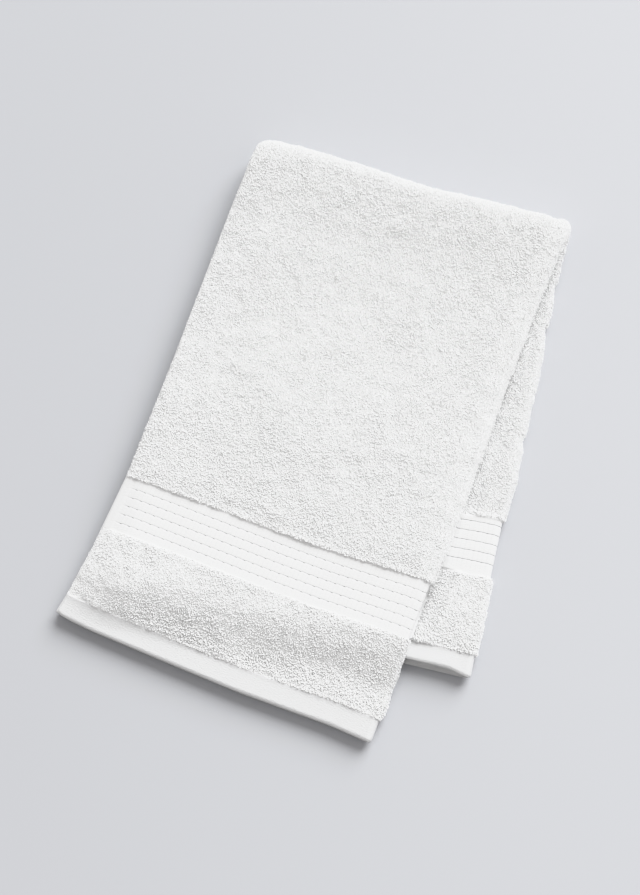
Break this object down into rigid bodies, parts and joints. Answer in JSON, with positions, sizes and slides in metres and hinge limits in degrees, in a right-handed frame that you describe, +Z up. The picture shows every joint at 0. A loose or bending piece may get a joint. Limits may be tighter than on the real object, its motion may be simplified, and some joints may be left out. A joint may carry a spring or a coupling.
{
  "type": "hand towel",
  "caption": "White terry hand towel with ribbed borders and flat hems, folded in half lengthwise and again across, lying flat with the upper half turned a little off the lower.",
  "frame": {"origin": "centre of the overall box in plan, on the surface that the towel lies on", "axes": "+Z up; +Y towards the cross fold, with both hems at the -Y end; +X towards the round lengthwise fold, with the open side edges on the -X side"},
  "size_m": [0.2808, 0.3972, 0.0263],
  "materials": {
    "white_terry": "matt white cotton terry, with a ribbed flat-woven border and a plain hem at each end"
  },
  "bodies": {
    "root": {"hand_towel": "white_terry"}
  },
  "joints": []
}
